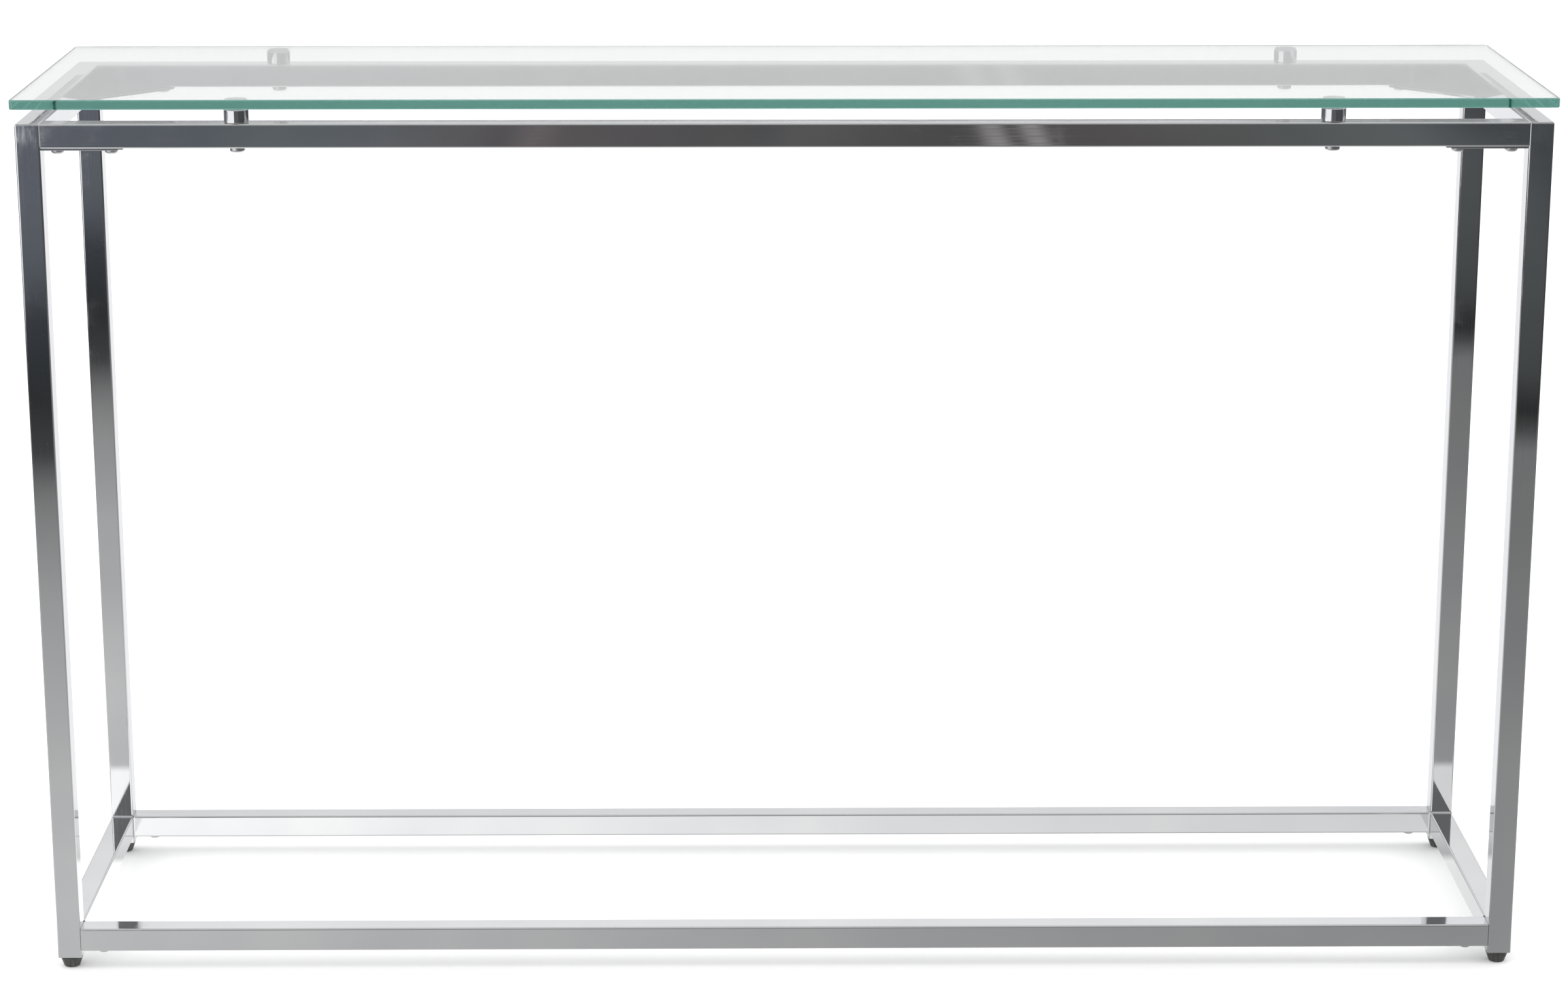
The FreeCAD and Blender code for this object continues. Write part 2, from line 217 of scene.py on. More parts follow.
def chrome(name, tube_length=None):
    """Bright chrome plating: slow waviness, polishing lines, smears and specks.

    A tube's edges are a little worn, and its ends wavier, where the joints were ground.
    """
    material, graph = new_material(name)
    plain = graph.coords()
    lines = graph.coords(stretch=(4, 700, 700))
    shade = graph.noise(plain, 9.0)
    colour = graph.ramp(shade, [(0.3, (0.595, 0.605, 0.63)), (0.7, (0.655, 0.66, 0.665))])
    smear = graph.spread(graph.noise(plain, 32.0, 5.0, 0.62), 0.52, 0.74, 0.0, 0.055)
    polish = graph.spread(graph.noise(lines, 1.0, 2.0), 0.35, 0.75, 0.0, 0.03)
    speck = graph.spread(graph.noise(plain, 900.0, 1.0), 0.7, 0.8, 0.0, 0.16)
    roughness = graph.math("ADD", graph.math("ADD", smear, polish), 0.028)
    roughness = graph.math("ADD", roughness, speck)
    normal = graph.bump(graph.noise(graph.coords(stretch=(0.4, 1, 1)), 22.0, 1.0), 0.045 * MM)
    if tube_length is not None:
        worn = graph.math("MULTIPLY", tube_edge_mask(graph), graph.noise(plain, 60.0, 6.0, 0.7))
        ends = tube_end_mask(graph, tube_length)
        ground = graph.math("MULTIPLY", ends, graph.noise(graph.coords(stretch=(0.5, 1, 1)), 95.0, 2.0))
        roughness = graph.math("ADD", roughness, graph.math("MULTIPLY", worn, 0.12))
        roughness = graph.math("ADD", roughness, graph.math("MULTIPLY", ground, 0.05))
        colour = graph.blend(graph.math("MULTIPLY", worn, 0.5), colour, (0.72, 0.72, 0.71))
        normal = graph.bump(ground, 0.09 * MM, normal)
    normal = graph.bump(graph.noise(lines, 1.0, 2.0), 0.0006 * MM, normal)
    shader = graph.node("BsdfPrincipled", {
        "Base Color": colour, "Metallic": 1.0, "Roughness": roughness, "Normal": normal})
    graph.surface(shader.outputs[0])
    return material


def clear_glass():
    """Float glass: green through its depth, with faint wipe marks and a ground edge."""
    material, graph = new_material("clear_glass")
    facing = graph.node("SeparateXYZ", {0: graph.node("TexCoord").outputs["Normal"]})
    edge = graph.spread(graph.math("ABSOLUTE", facing.outputs[2]), 0.15, 0.85, 1.0, 0.0)
    wipes = graph.noise(graph.coords(stretch=(1, 3.5, 1)), 5.0, 4.0, 0.6)
    marks = graph.spread(wipes, 0.55, 0.8, 0.0, 0.012)
    grind = graph.noise(graph.coords(stretch=(1, 1, 5)), 180.0, 4.0)
    ground = graph.math("MULTIPLY", edge, graph.spread(grind, 0.3, 0.7, 0.02, 0.09))
    colour = graph.blend(edge, (0.988, 0.992, 0.994), (0.40, 0.66, 0.60))
    normal = graph.bump(graph.math("MULTIPLY", grind, edge), 0.01 * MM)
    shader = graph.node("BsdfPrincipled", {
        "Base Color": colour, "Roughness": graph.math("ADD", marks, ground), "IOR": 1.52,
        "Transmission Weight": 1.0, "Normal": normal})
    depth = graph.node("VolumeAbsorption", {"Color": (0.19, 0.62, 0.54, 1), "Density": 3.0})
    output = graph.node("OutputMaterial")
    graph.tree.links.new(shader.outputs[0], output.inputs["Surface"])
    graph.tree.links.new(depth.outputs[0], output.inputs["Volume"])
    return material


def bond_clear():
    """Cured clear adhesive with a few fine bubbles."""
    material, graph = new_material("bond_clear")
    bubbles = graph.noise(graph.coords(), 1400.0, 2.0)
    colour = graph.ramp(bubbles, [(0.45, (0.93, 0.95, 0.95)), (0.7, (0.80, 0.83, 0.83))])
    roughness = graph.spread(bubbles, 0.4, 0.75, 0.10, 0.35)
    normal = graph.bump(bubbles, 0.02 * MM)
    shader = graph.node("BsdfPrincipled", {
        "Base Color": colour, "Roughness": roughness, "IOR": 1.49,
        "Transmission Weight": 0.85, "Normal": normal})
    graph.surface(shader.outputs[0])
    return material


def zinc():
    """Zinc plate with a faint blue and straw cast, and tool marks."""
    material, graph = new_material("zinc_plate")
    plain = graph.coords()
    cast = graph.noise(plain, 140.0, 4.0, 0.6)
    colour = graph.ramp(cast, [
        (0.3, (0.50, 0.53, 0.58)), (0.5, (0.60, 0.61, 0.62)), (0.72, (0.63, 0.61, 0.55))])
    roughness = graph.spread(graph.noise(plain, 420.0, 5.0, 0.65), 0.3, 0.7, 0.20, 0.42)
    normal = graph.bump(graph.noise(plain, 2600.0, 2.0), 0.012 * MM)
    shader = graph.node("BsdfPrincipled", {
        "Base Color": colour, "Metallic": 1.0, "Roughness": roughness, "Normal": normal})
    graph.surface(shader.outputs[0])
    return material


def mill_steel():
    """Bare steel with mill scale and a dull oil film."""
    material, graph = new_material("mill_steel")
    plain = graph.coords()
    scale = graph.noise(plain, 110.0, 6.0, 0.65)
    colour = graph.ramp(scale, [(0.35, (0.22, 0.21, 0.20)), (0.65, (0.45, 0.44, 0.42))])
    roughness = graph.spread(scale, 0.3, 0.7, 0.58, 0.34)
    normal = graph.bump(graph.noise(plain, 1500.0, 4.0), 0.03 * MM)
    shader = graph.node("BsdfPrincipled", {
        "Base Color": colour, "Metallic": 1.0, "Roughness": roughness, "Normal": normal})
    graph.surface(shader.outputs[0])
    return material


def moulded_plastic(name, dark, light, scuffs):
    """Grained moulded plastic, with pale scuffs towards the floor."""
    material, graph = new_material(name)
    plain = graph.coords()
    place = graph.node("SeparateXYZ", {0: graph.node("TexCoord").outputs["Object"]})
    low = graph.spread(place.outputs[2], 0.0, 9.0 * MM, 1.0, 0.25)
    scratch = graph.noise(graph.coords(stretch=(1, 1, 6)), 260.0, 6.0, 0.7)
    scuff = graph.math("MULTIPLY", graph.spread(scratch, 0.5, 0.72, 0.0, scuffs), low)
    tone = graph.ramp(graph.noise(plain, 190.0, 4.0), [(0.3, dark), (0.7, light)])
    colour = graph.blend(scuff, tone, (0.20, 0.20, 0.19))
    roughness = graph.math("ADD", graph.spread(graph.noise(plain, 700.0), 0.3, 0.7, 0.34, 0.5),
                           graph.math("MULTIPLY", scuff, 0.3))
    normal = graph.bump(graph.noise(plain, 3200.0, 2.0), 0.035 * MM)
    shader = graph.node("BsdfPrincipled", {
        "Base Color": colour, "Roughness": roughness, "Normal": normal})
    graph.surface(shader.outputs[0])
    return material


# ---------------------------------------------------------------- mesh helpers

def new_object(name, bm, sharp_degrees=32.0):
    """Turns a bmesh into a smooth-shaded object whose large flat faces stay flat."""
    bmesh.ops.recalc_face_normals(bm, faces=bm.faces)
    mesh = bpy.data.meshes.new(name)
    bm.to_mesh(mesh)
    bm.free()
    mesh.shade_smooth()
    mesh.set_sharp_from_angle(angle=math.radians(sharp_degrees))
    made = bpy.data.objects.new(name, mesh)
    bpy.context.scene.collection.objects.link(made)
    flats = made.modifiers.new("flat faces", "WEIGHTED_NORMAL")
    flats.weight = 100
    flats.keep_sharp = True
    return made


def skin(bm, rings, joined=False, capped=False):
    """Covers rings of points, all of one length, with quads. joined links last to first."""
    rows = [[bm.verts.new(point) for point in ring] for ring in rings]
    count = len(rows[0])
    pairs = list(zip(rows, rows[1:]))
    if joined:
        pairs.append((rows[-1], rows[0]))
    for row, following in pairs:
        for i in range(count):
            j = (i + 1) % count
            bm.faces.new((row[i], row[j], following[j], following[i]))
    if capped:
        bm.faces.new(rows[0])
        bm.faces.new(rows[-1])


def rounded_rectangle(half_x, half_y, radius, steps):
    """(x, y, outward x, outward y) round a rectangle with round corners."""
    points = []
    for quarter, (side_x, side_y) in enumerate(((1, 1), (-1, 1), (-1, -1), (1, -1))):
        for step in range(steps + 1):
            turn = math.pi / 2 * (quarter + step / steps)
            out_x, out_y = math.cos(turn), math.sin(turn)
            x = side_x * (half_x - radius) + radius * out_x
            y = side_y * (half_y - radius) + radius * out_y
            points.append((x, y, out_x, out_y))
    return points


def foot_middle(low, high):
    """Middle of the bottom face of a box."""
    return Vector(((low.x + high.x) / 2, (low.y + high.y) / 2, low.z))


def circle_ring(radius, z, steps):
    """Points round a level circle about the Z axis."""
    turns = [2 * math.pi * step / steps for step in range(steps)]
    return [Vector((radius * math.cos(t), radius * math.sin(t), z)) for t in turns]


def arc_steps(steps, degrees=90.0):
    """Angles in radians from 0 to the end of an arc."""
    return [math.radians(degrees) * step / steps for step in range(steps + 1)]


def wobble(first, second):
    """Smooth repeatable unevenness in -1..1: the mean of two sines."""
    return (math.sin(first) + math.sin(1.7 * second)) / 2


# ---------------------------------------------------------------- square tube

def square_end(profile):
    """Rings of (back from the end, y, z) towards a deburred square end."""
    rings = []
    for turn in arc_steps(3):
        back = TUBE_END_RADIUS * (1 - math.sin(turn))
        inset = TUBE_END_RADIUS * (1 - math.cos(turn))
        rings.append([(back, y - out_y * inset, z - out_z * inset) for y, z, out_y, out_z in profile])
    return rings


def mitre_end(profile, half):
    """Rings of (back from the end, y, z) towards a 45 degree mitre, longest at the +Z face.

    The last ring draws in by the seam's depth, which leaves a hairline between two mitred tubes.
    """
    rings = []
    for turn in arc_steps(5, 45.0):
        share = turn / math.radians(45.0)
        ring = []
        for y, z, _, _ in profile:
            depth = half - z
            back = depth + MITRE_LEAD * (1 - share)
            if depth < MITRE_RADIUS:
                bend = MITRE_RADIUS - depth
                back = MITRE_RADIUS - bend * math.sin(turn)
                depth = MITRE_RADIUS - bend * math.cos(turn)
            ring.append((back, y, half - depth))
        rings.append(ring)
    flush = rings.pop()
    rings.append([(back + MITRE_SEAM, y, z) for back, y, z in flush])
    rings.append([
        (back, y - out_y * MITRE_SEAM, z - out_z * MITRE_SEAM)
        for (back, y, z), (_, _, out_y, out_z) in zip(flush, profile)])
    return rings


def tube_bmesh(length, size, start_mitred, end_mitred):
    """Hollow square tube along +X from the origin."""
    half = size / 2
    outer = rounded_rectangle(half, half, TUBE_CORNER_RADIUS, TUBE_CORNER_STEPS)
    bore_half, bore_radius = half - TUBE_WALL, TUBE_CORNER_RADIUS - TUBE_WALL
    inner = rounded_rectangle(bore_half, bore_half, bore_radius, TUBE_CORNER_STEPS)
    outside, inside = {}, {}
    for end, mitred in (("start", start_mitred), ("end", end_mitred)):
        outside[end] = mitre_end(outer, half) if mitred else square_end(outer)
        inside[end] = [((half - z) if mitred else 0.0, y, z) for y, z, _, _ in inner]

    def at_start(ring):
        return [Vector(point) for point in ring]

    def at_end(ring):
        return [Vector((length - back, y, z)) for back, y, z in ring]

    rings = [at_start(ring) for ring in reversed(outside["start"])]
    rings += [at_end(ring) for ring in outside["end"]]
    rings += [at_end(inside["end"]), at_start(inside["start"])]
    bm = bmesh.new()
    skin(bm, rings, joined=True)
    return bm


def axes_matrix(origin, along, up):
    """Places a piece so that its own X runs along one direction and its Z along another."""
    along, up = Vector(along), Vector(up)
    side = up.cross(along)
    turned = Matrix((along, side, up)).transposed().to_4x4()
    return Matrix.Translation(origin) @ turned


def add_tube(node, along, up, mitres=(False, False)):
    """Chromed tube that stands for a CAD tube, filling its box."""
    low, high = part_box(node)
    middle = (low + high) / 2
    reach = high - low
    axis = Vector(along)
    length = max(abs(axis[i]) * reach[i] for i in range(3))
    bm = tube_bmesh(length, min(reach), *mitres)
    made = new_object(node + "_tube", bm)
    made.matrix_world = axes_matrix(middle - axis * length / 2, along, up)
    finish_piece(made, tube_chrome(length), [node])


def tube_chrome(length):
    """The chrome for tubes of that length, made once."""
    name = f"chrome_tube_{round(length / MM)}mm"
    return bpy.data.materials.get(name) or chrome(name, length)


# ---------------------------------------------------------------- other pieces

def glass_object():
    """Sheet with round corners and a rounded arris on both faces."""
    low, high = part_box("glass_top")
    middle = (low + high) / 2
    half_x, half_y = (high.x - low.x) / 2, (high.y - low.y) / 2
    outline = rounded_rectangle(half_x, half_y, GLASS_CORNER_RADIUS, 8)
    half_z = (high.z - low.z) / 2
    rings = []
    for side in (-1, 1):
        arris = []
        for turn in arc_steps(4):
            inset = GLASS_ARRIS_RADIUS * (1 - math.sin(turn))
            z = side * (half_z - GLASS_ARRIS_RADIUS * (1 - math.cos(turn)))
            arris.append([Vector((x - ox * inset, y - oy * inset, z)) for x, y, ox, oy in outline])
        rings += arris if side < 0 else arris[::-1]
    bm = bmesh.new()
    skin(bm, rings, capped=True)
    made = new_object("glass_sheet", bm, sharp_degrees=50.0)
    made.location = middle
    return made


def turned_object(name, profile, place, steps=96):
    """Solid of revolution about Z from (radius, height) points, base to top."""
    bm = bmesh.new()
    skin(bm, [circle_ring(radius, z, steps) for radius, z in profile], capped=True)
    made = new_object(name, bm)
    made.location = place
    return made


def standoff_object(corner):
    """Polished spacer with softened chamfers."""
    low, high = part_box(corner + "_standoff")
    radius, height = (high.x - low.x) / 2, high.z - low.z
    soft = STANDOFF_EDGE / 4
    foot = [
        (radius - STANDOFF_EDGE - soft, 0.0),
        (radius - STANDOFF_EDGE + soft, soft / 2),
        (radius - soft / 2, STANDOFF_EDGE - soft),
        (radius, STANDOFF_EDGE + soft),
    ]
    head = [(r, height - z) for r, z in reversed(foot)]
    return turned_object(corner + "_spacer", foot + head, foot_middle(low, high))


def bond_object(corner):
    """Adhesive disc whose rim draws in between the spacer and the glass."""
    low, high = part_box(corner + "_bond_disc")
    radius, height = (high.x - low.x) / 2, high.z - low.z
    profile = []
    for row in range(BOND_ROWS + 1):
        share = row / BOND_ROWS
        hollow = BOND_HOLLOW * math.sin(math.pi * share)
        profile.append((radius - hollow, BOND_GAP + (height - 2 * BOND_GAP) * share))
    return turned_object(corner + "_bond", profile, foot_middle(low, high), 64)


def thread_shape(turns):
    """Depth of the thread, 0 to 1, after that many turns: a triangle with its tips cut flat."""
    triangle = abs(2 * (turns % 1.0) - 1)
    return min(1.0, max(0.0, triangle * THREAD_STEEPNESS - THREAD_CREST))


def stem_object(corner):
    """Threaded stem of a foot: a real helix, chamfered at both ends."""
    low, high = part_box(corner + "_foot_stem")
    radius, height = (high.x - low.x) / 2, high.z - low.z
    tip = radius / 5
    rows = int(height / THREAD_PITCH * THREAD_ROWS)
    rings = []
    for row in range(rows + 1):
        z = height * row / rows
        from_end = min(z, height - z)
        ring = []
        for step in range(THREAD_STEPS):
            share = step / THREAD_STEPS
            ridge = radius - THREAD_DEPTH * thread_shape(z / THREAD_PITCH - share)
            ridge = min(ridge, radius - max(0.0, tip - from_end))
            turn = 2 * math.pi * share
            ring.append(Vector((ridge * math.cos(turn), ridge * math.sin(turn), z)))
        rings.append(ring)
    bm = bmesh.new()
    skin(bm, rings, capped=True)
    made = new_object(corner + "_threaded_stem", bm, sharp_degrees=60.0)
    made.location = foot_middle(low, high)
    return made


def side_of(corner):
    """(x side, y side) of a named corner."""
    low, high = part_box(corner + "_leg")
    return math.copysign(1, low.x + high.x), math.copysign(1, low.y + high.y)


def is_level(edge):
    """Whether both ends of an edge are at one height."""
    return abs(edge.verts[0].co.z - edge.verts[1].co.z) < SAME_PLACE


def plate_object(corner):
    """Pressed gusset: the CAD plate's outline with rolled edges.

    The outline wraps the leg, follows both top rails and slopes across the corner between them.
    """
    low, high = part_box(corner + "_corner_plate")
    leg_low, leg_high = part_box(corner + "_leg")
    side_x, side_y = side_of(corner)
    inner_x = leg_high.x if side_x < 0 else leg_low.x
    inner_y = leg_high.y if side_y < 0 else leg_low.y
    outer_x, reach_x = (low.x, high.x) if side_x < 0 else (high.x, low.x)
    outer_y, reach_y = (low.y, high.y) if side_y < 0 else (high.y, low.y)
    outline = [
        (inner_x, outer_y), (reach_x, outer_y), (reach_x, inner_y), (inner_x, reach_y),
        (outer_x, reach_y), (outer_x, inner_y), (inner_x, inner_y)]
    bm = bmesh.new()
    base = [bm.verts.new((x, y, low.z)) for x, y in outline]
    face = bm.faces.new(base)
    raised = bmesh.ops.extrude_face_region(bm, geom=[face])
    lifted = [item for item in raised["geom"] if isinstance(item, bmesh.types.BMVert)]
    bmesh.ops.translate(bm, verts=lifted, vec=(0, 0, high.z - low.z))
    free_corners = [
        edge for edge in bm.edges
        if not is_level(edge)
        and (abs(edge.verts[0].co.x - reach_x) < SAME_PLACE
             or abs(edge.verts[0].co.y - reach_y) < SAME_PLACE)]
    bmesh.ops.bevel(
        bm, geom=free_corners, offset=PLATE_CORNER_RADIUS, segments=6, affect="EDGES")
    rims = [edge for edge in bm.edges if is_level(edge)]
    bmesh.ops.bevel(bm, geom=rims, offset=PLATE_EDGE_RADIUS, segments=3, affect="EDGES")
    return new_object(corner + "_gusset", bm)


def rail_weld_object(corner):
    """Fillet weld round the end of a bottom side rail, dressed nearly flush outside."""
    side_x, side_y = side_of(corner)
    rail = ("left" if side_x < 0 else "right") + "_bottom_side_rail"
    low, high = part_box(rail)
    middle = (low + high) / 2
    half = (high.z - low.z) / 2
    joint_y = high.y if side_y > 0 else low.y
    profile = rounded_rectangle(half, half, TUBE_CORNER_RADIUS, 6)
    rings = []
    for count, (x, z, out_x, out_z) in enumerate(profile):
        outside = max(0.0, out_x * side_x)
        uneven = 1 + WELD_UNEVENNESS * wobble(count * 1.3, count * 0.9)
        leg = WELD_LEG * (1 - WELD_DRESSED * outside) * uneven
        ring = [(-WELD_ROOT, -WELD_ROOT), (leg, -WELD_ROOT)]
        for turn in arc_steps(5):
            ring.append((leg * (1 - math.sin(turn)), leg * (1 - math.cos(turn))))
        ring.append((-WELD_ROOT, leg))
        rings.append([
            Vector((middle.x + x + out_x * away, joint_y - side_y * along, middle.z + z + out_z * away))
            for away, along in ring])
    bm = bmesh.new()
    skin(bm, rings, joined=True)
    return new_object(corner + "_rail_weld", bm, sharp_degrees=60.0)


def bead_rings(start, end, across, up):
    """Rings of a rippled weld bead between two points, tapered at its ends."""
    run = end - start
    rings = []
    for row in range(BEAD_ROWS + 1):
        share = row / BEAD_ROWS
        taper = math.sqrt(max(0.02, 1 - abs(2 * share - 1) ** 6))
        ripple = 1 + BEAD_RIPPLE_HEIGHT * math.sin(2 * math.pi * share * run.length / BEAD_RIPPLE)
        uneven = 1 + BEAD_UNEVENNESS * wobble(share * 9, share * 23)
        half_width = BEAD_RADIUS * taper * ripple * uneven
        half_height = half_width * BEAD_FLATNESS
        centre = start + run * share
        ring = []
        for step in range(BEAD_STEPS):
            turn = 2 * math.pi * step / BEAD_STEPS
            sideways = across * half_width * math.cos(turn)
            ring.append(centre + sideways + up * half_height * math.sin(turn))
        rings.append(ring)
    return rings


def plate_weld_object(corner):
    """Two short beads that hold a gusset to the underside of the top side rail."""
    low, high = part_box(corner + "_corner_plate")
    side_x, side_y = side_of(corner)
    outer_x = low.x if side_x < 0 else high.x
    reach_y = high.y if side_y < 0 else low.y
    to_leg = Vector((0, side_y, 0))
    across, up = Vector((-side_x, 0, 0)), Vector((0, 0, 1))
    along_x = outer_x - side_x * PLATE_EDGE_RADIUS
    along_z = high.z - BEAD_RADIUS * BEAD_SINK
    bm = bmesh.new()
    for lengths in BEAD_STARTS:
        start = Vector((along_x, reach_y + side_y * BEAD_LENGTH * lengths, along_z))
        end = start + to_leg * BEAD_LENGTH
        skin(bm, bead_rings(start, end, across, up), capped=True)
    return new_object(corner + "_plate_welds", bm, sharp_degrees=70.0)


# ---------------------------------------------------------------- assembly

def finish_piece(piece, material, nodes=(), body="table"):
    """Gives a new piece its material and body, and hides the CAD nodes that it stands for."""
    piece.data.materials.append(material)
    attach(piece, body)
    if nodes:
        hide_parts(*nodes)


def build_tubes():
    """The twelve tubes. Legs and top side rails are mitred where they meet."""
    for corner in CORNERS:
        outwards = (0, side_of(corner)[1], 0)
        add_tube(corner + "_leg", (0, 0, 1), outwards, (False, True))
    for side in ("left", "right"):
        add_tube(side + "_top_side_rail", (0, 1, 0), (0, 0, 1), (True, True))
        add_tube(side + "_bottom_side_rail", (0, 1, 0), (0, 0, 1))
    for side in ("front", "rear"):
        for level in ("top", "bottom"):
            add_tube(f"{side}_{level}_rail", (1, 0, 0), (0, 0, 1))


def build_pieces(materials):
    """All the pieces that stand for CAD nodes, and the welds."""
    build_tubes()
    finish_piece(glass_object(), materials["glass"], ["glass_top"])
    polished = materials["chrome"]
    for corner in CORNERS:
        finish_piece(standoff_object(corner), polished, [corner + "_standoff"])
        finish_piece(bond_object(corner), materials["bond"], [corner + "_bond_disc"])
        finish_piece(plate_object(corner), polished, [corner + "_corner_plate"])
        finish_piece(rail_weld_object(corner), polished)
        finish_piece(plate_weld_object(corner), polished)
        stem = stem_object(corner)
        finish_piece(stem, materials["zinc"], [corner + "_foot_stem"], corner + "_foot")


def paint_cad_nodes(materials):
    """Gives every CAD node the material of its slot, the hidden ones too."""
    for part in frame["record"]["subparts"]:
        node = frame["nodes"][part["node"]]
        node.data.materials.clear()
        node.data.materials.append(materials[part["material_slot"]])


def make_materials():
    """One material for each of the record's slots."""
    return {
        "chrome": chrome("chrome_polished"),
        "glass": clear_glass(),
        "bond": bond_clear(),
        "zinc": zinc(),
        "plain_steel": mill_steel(),
        "black_plastic": moulded_plastic(
            "black_plastic", (0.016, 0.016, 0.016), (0.03, 0.03, 0.03), 0.25),
        "foot_plastic": moulded_plastic(
            "foot_plastic", (0.03, 0.031, 0.03), (0.055, 0.056, 0.052), 0.6),
    }


# ---------------------------------------------------------------- camera and stage

FLOOR_REACH = 60.0

# Reflection card, just above the floor
CARD_REACH = 12.0
CARD_HEIGHT = 0.3 * MM
FOOTPRINT_HALF_X = 0.75  # of the area that counts as under the table
FOOTPRINT_HALF_Y = 0.10
BEHIND_TABLE = (1.1, 1.1, 1.12)  # colour where the sweep runs on behind the table

# Brightness of the sweep as the chrome sees it, by distance in metres from the table's
# footprint: white between the rails, lit near the table, dark past the sweep's far edge.
SWEEP_LEFT = (
    (0.0, 1.5), (0.02, 0.74), (0.2, 0.78), (0.65, 0.62), (0.93, 0.56), (1.3, 0.41), (1.58, 0.27),
    (1.82, 0.075), (2.15, 0.045), (2.7, 0.06), (3.1, 0.13), (4.1, 0.17), (5.0, 0.16))
SWEEP_RIGHT = (
    (0.0, 1.0), (0.02, 0.42), (0.3, 0.39), (0.6, 0.36), (1.0, 0.30), (1.5, 0.255), (1.92, 0.235),
    (2.03, 0.08), (2.14, 0.03), (2.4, 0.07), (3.0, 0.095), (4.1, 0.12), (5.0, 0.12))
# What stands at the far end of the studio: brightness and hue, from left to right in metres.
FAR_BRIGHTNESS = (
    (-1.5, 1.1), (-0.60, 1.0), (-0.52, 0.85), (-0.46, 1.15), (-0.40, 0.86), (0.0, 0.86), (0.05, 1.0),
    (0.42, 0.92), (0.45, 3.2), (0.47, 3.2), (0.49, 0.95), (0.51, 0.95), (0.53, 3.2), (0.55, 3.2),
    (0.57, 0.95), (0.9, 1.12), (1.3, 1.25), (1.5, 0.8))
FAR_HUE = (
    (-1.5, (0.90, 0.95, 1.14)), (-0.9, (0.90, 1.02, 1.10)), (-0.45, (1.08, 0.97, 1.0)),
    (0.0, (1.0, 1.0, 1.0)), (0.7, (1.06, 0.99, 0.97)), (1.1, (0.95, 1.03, 1.02)),
    (1.5, (0.94, 1.0, 1.05)))
FAR_HALF_WIDTH = 1.5
SWEEP_REACH = 5.0

# Side panel, standing ahead and to the left
PANEL_PLACE = (-2.35, -2.05, 1.22)
PANEL_TURN = -54.0  # degrees about Z
PANEL_HALF_WIDTH = 1.75
PANEL_HALF_HEIGHT = 1.2
PANEL_BRIGHTNESS = ((0.0, 1.3), (0.4, 1.8), (1.0, 0.9))  # from its foot to its top

# Lamps: name, place, width and height in metres, and power in watts
LAMP_AIM = (0.0, 0.0, 0.4)
LAMPS = (
    ("overhead", (0.0, 0.3, 3.2), 3.4, 2.2, 16.0),
    ("left_side", (-2.8, -0.6, 1.8), 1.6, 1.8, 12.0),
    ("right_side", (2.8, 0.6, 1.8), 1.6, 1.8, 8.0),
)

# World
PLAIN_STRENGTH = 1.35  # over 1, so that only soft shadows stay on the floor
REFLECTED_STRENGTH = 1.05
BACK_WALL_STARTS = 0.35  # of the direction's Y, where the front wall begins to give way
BACK_WALL_FULL = 0.88

# What the chrome sees of the studio's walls: brightness by the height of the direction, from
# 0 at the horizon to 1 straight up.
STUDIO_BACK = ((0.0, 0.76), (0.315, 0.82), (0.355, 1.06), (0.55, 1.06), (0.75, 0.5), (1.0, 0.8))
STUDIO_FRONT = ((0.0, 0.10), (0.3, 0.22), (0.6, 0.5), (1.0, 0.8))

# Bounces: light crosses the thick glass edge many times before it leaves
GLASS_BOUNCES = 96
ALL_BOUNCES = 128


def make_camera():
    """Camera that looks at the middle of the table from the front and a little above."""
    data = bpy.data.cameras.new("camera")
    data.lens = CAMERA_LENS
    data.clip_end = 200.0
    camera = bpy.data.objects.new("camera", data)
    bpy.context.scene.collection.objects.link(camera)
    azimuth, elevation = math.radians(CAMERA_AZIMUTH), math.radians(CAMERA_ELEVATION)
    away = Vector((
        math.sin(azimuth) * math.cos(elevation),
        -math.cos(azimuth) * math.cos(elevation),
        math.sin(elevation)))
    camera.location = CAMERA_AIM + away * CAMERA_DISTANCE
    camera.rotation_euler = (-away).to_track_quat("-Z", "Y").to_euler()
    bpy.context.scene.camera = camera


def stage_plane(name, low, high, z):
    """Flat rectangle between two corners, part of the studio."""
    bm = bmesh.new()
    corners = [(low[0], low[1]), (high[0], low[1]), (high[0], high[1]), (low[0], high[1])]
    bm.faces.new([bm.verts.new((x, y, z)) for x, y in corners])
    mesh = bpy.data.meshes.new(name)
    bm.to_mesh(mesh)
    bm.free()
    plane = bpy.data.objects.new(name, mesh)
    bpy.context.scene.collection.objects.link(plane)
    return plane


def make_floor():
    """Plain pale paper."""
    material, graph = new_material("floor_paper")
    grain = graph.noise(graph.coords(), 3.0, 4.0)
    colour = graph.ramp(grain, [(0.3, (0.93, 0.93, 0.93)), (0.7, (0.95, 0.95, 0.95))])
    shader = graph.node("BsdfPrincipled", {
        "Base Color": colour, "Roughness": 0.9, "Specular IOR Level": 0.1})
    graph.surface(shader.outputs[0])
    floor = stage_plane("floor", (-FLOOR_REACH, -FLOOR_REACH), (FLOOR_REACH, FLOOR_REACH), 0.0)
    floor.data.materials.append(material)


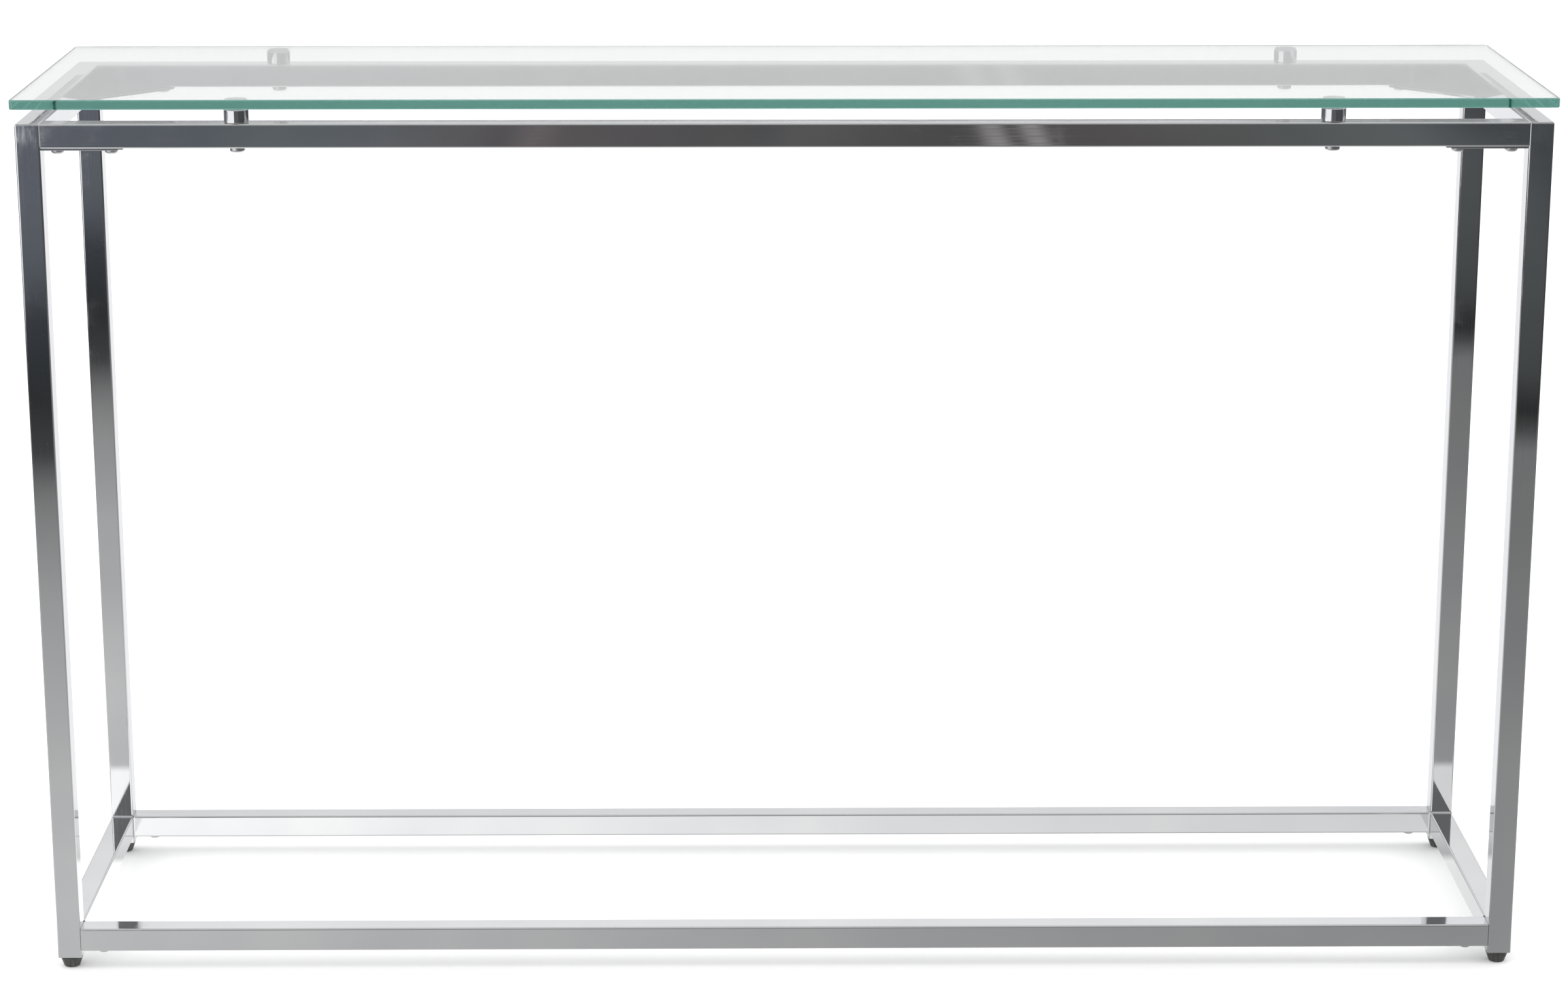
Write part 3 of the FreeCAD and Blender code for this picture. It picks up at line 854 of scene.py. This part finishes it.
def make_reflection_card():
    """What the chrome sees of the floor: a lit sweep by the table and a dim studio beyond.

    It shows in reflections only. Its brightness falls with the distance from the table's
    footprint, but stays high behind the table, where the sweep runs on.
    """
    material, graph = new_material("reflection_card")
    parts = graph.node("SeparateXYZ", {0: graph.coords()})
    x, y = parts.outputs[0], parts.outputs[1]
    beyond_x = graph.math("SUBTRACT", graph.math("ABSOLUTE", x), FOOTPRINT_HALF_X)
    beyond_y = graph.math("SUBTRACT", graph.math("ABSOLUTE", y), FOOTPRINT_HALF_Y)
    reach_x = graph.math("MAXIMUM", beyond_x, 0.0)
    reach_y = graph.math("MAXIMUM", beyond_y, 0.0)
    square = graph.math("ADD", graph.math("POWER", reach_x, 2.0), graph.math("POWER", reach_y, 2.0))
    distance = graph.math("SQRT", square)
    cloud = graph.noise(graph.coords(stretch=(1, 0.3, 1)), 1.3, 4.0)
    wander = graph.math("MULTIPLY", graph.spread(cloud, 0.3, 0.7, -0.07, 0.07),
                        graph.spread(distance, 0.0, 1.0, 0.0, 1.0))
    ragged = graph.math("ADD", distance, wander)
    share = graph.math("DIVIDE", ragged, SWEEP_REACH)
    falls = [
        graph.ramp(share, [(place / SWEEP_REACH, grey) for place, grey in stops])
        for stops in (SWEEP_LEFT, SWEEP_RIGHT)]
    fall = graph.blend(graph.spread(x, -0.8, 0.55, 0.0, 1.0), *falls)
    far = graph.spread(ragged, 1.6, 2.6, 0.0, 1.0)
    across = graph.math("ADD", graph.math("DIVIDE", x, 2 * FAR_HALF_WIDTH), 0.5)
    clutter, hue = [
        graph.ramp(across, [(place / (2 * FAR_HALF_WIDTH) + 0.5, look) for place, look in stops])
        for stops in (FAR_BRIGHTNESS, FAR_HUE)]
    beyond = graph.blend(1.0, clutter, hue, "MULTIPLY")
    streaks = graph.noise(graph.coords(stretch=(1, 0.25, 1)), 3.1, 4.0)
    beyond = graph.blend(1.0, beyond, graph.spread(streaks, 0.3, 0.7, 0.9, 1.1), "MULTIPLY")
    front = graph.blend(1.0, fall, graph.blend(far, (1.0, 1.0, 0.99), beyond), "MULTIPLY")
    middle = graph.spread(graph.math("ABSOLUTE", x), FOOTPRINT_HALF_X, 1.3, 1.0, 0.0)
    behind = graph.math("MULTIPLY", graph.spread(y, 0.05, 0.3, 0.0, 1.0), middle)
    colour = graph.blend(behind, front, BEHIND_TABLE)
    graph.surface(graph.node("Emission", {"Color": colour, "Strength": 1.0}).outputs[0])
    card = stage_plane(
        "reflection_card", (-CARD_REACH, -CARD_REACH), (CARD_REACH, CARD_REACH), CARD_HEIGHT)
    card.data.materials.append(material)
    show_in_reflections_only(card)


def make_side_panel():
    """White panel ahead and to the left, which lights the left of everything round.

    It shows in reflections only.
    """
    material, graph = new_material("side_panel")
    height = graph.node("SeparateXYZ", {0: graph.coords()}).outputs[1]
    share = graph.spread(height, -PANEL_HALF_HEIGHT, PANEL_HALF_HEIGHT, 0.0, 1.0)
    fade = graph.ramp(share, PANEL_BRIGHTNESS)
    graph.surface(graph.node("Emission", {"Color": fade, "Strength": 1.0}).outputs[0])
    corner = (PANEL_HALF_WIDTH, PANEL_HALF_HEIGHT)
    panel = stage_plane("side_panel", (-corner[0], -corner[1]), corner, 0.0)
    panel.data.materials.append(material)
    panel.location = PANEL_PLACE
    panel.rotation_euler = (math.radians(90), 0, math.radians(PANEL_TURN))
    show_in_reflections_only(panel)


def show_in_reflections_only(card):
    """Leaves a card or panel to the mirror-like surfaces alone."""
    card.visible_camera = False
    card.visible_diffuse = False
    card.visible_transmission = False
    card.visible_shadow = False


def make_world():
    """White for the camera and the glass, even light for the floor, a studio for the chrome."""
    world = bpy.data.worlds.new("studio")
    bpy.context.scene.world = world
    world.use_nodes = True
    graph = Graph(world.node_tree)
    parts = graph.node("SeparateXYZ", {0: graph.node("TexCoord").outputs["Generated"]})
    towards_back = graph.spread(parts.outputs[1], BACK_WALL_STARTS, BACK_WALL_FULL, 0.0, 1.0)
    height = parts.outputs[2]
    back = graph.ramp(height, STUDIO_BACK)
    front = graph.ramp(height, STUDIO_FRONT)
    studio = graph.blend(towards_back, front, back)
    rays = graph.node("LightPath")
    mirrored = graph.math("MINIMUM", rays.outputs["Glossy Depth"], 1.0)
    plain = graph.node("Background", {"Color": (1, 1, 1, 1), "Strength": PLAIN_STRENGTH})
    reflected = graph.node("Background", {"Color": studio, "Strength": REFLECTED_STRENGTH})
    pick = graph.node("MixShader", {
        0: mirrored, 1: plain.outputs[0], 2: reflected.outputs[0]})
    output = graph.node("OutputWorld")
    graph.tree.links.new(pick.outputs[0], output.inputs["Surface"])


def add_softbox(name, place, width, height, power):
    """Rectangular lamp turned towards the table."""
    data = bpy.data.lights.new(name, "AREA")
    data.shape = "RECTANGLE"
    data.size, data.size_y = width, height
    data.energy = power
    lamp = bpy.data.objects.new(name, data)
    bpy.context.scene.collection.objects.link(lamp)
    lamp.location = place
    lamp.rotation_euler = (Vector(LAMP_AIM) - Vector(place)).to_track_quat("-Z", "Y").to_euler()
    return lamp


def make_lights():
    """The lamps. The overhead one stays out of the chrome, straight and through the glass.

    Its glare would wash out the frame when that is seen from above.
    """
    lamps = {name: add_softbox(name, *shape) for name, *shape in LAMPS}
    lamps["overhead"].visible_glossy = False
    lamps["overhead"].visible_transmission = False


def set_render_look():
    """Plain tone curve, so that the white floor stays white, and bounces for thick glass."""
    scene = bpy.context.scene
    scene.view_settings.view_transform = "Standard"
    scene.cycles.glossy_bounces = GLASS_BOUNCES
    scene.cycles.transmission_bounces = GLASS_BOUNCES
    scene.cycles.max_bounces = ALL_BOUNCES


make_camera()
materials = make_materials()
build_pieces(materials)
paint_cad_nodes(materials)
make_floor()
make_reflection_card()
make_side_panel()
make_world()
make_lights()
set_render_look()
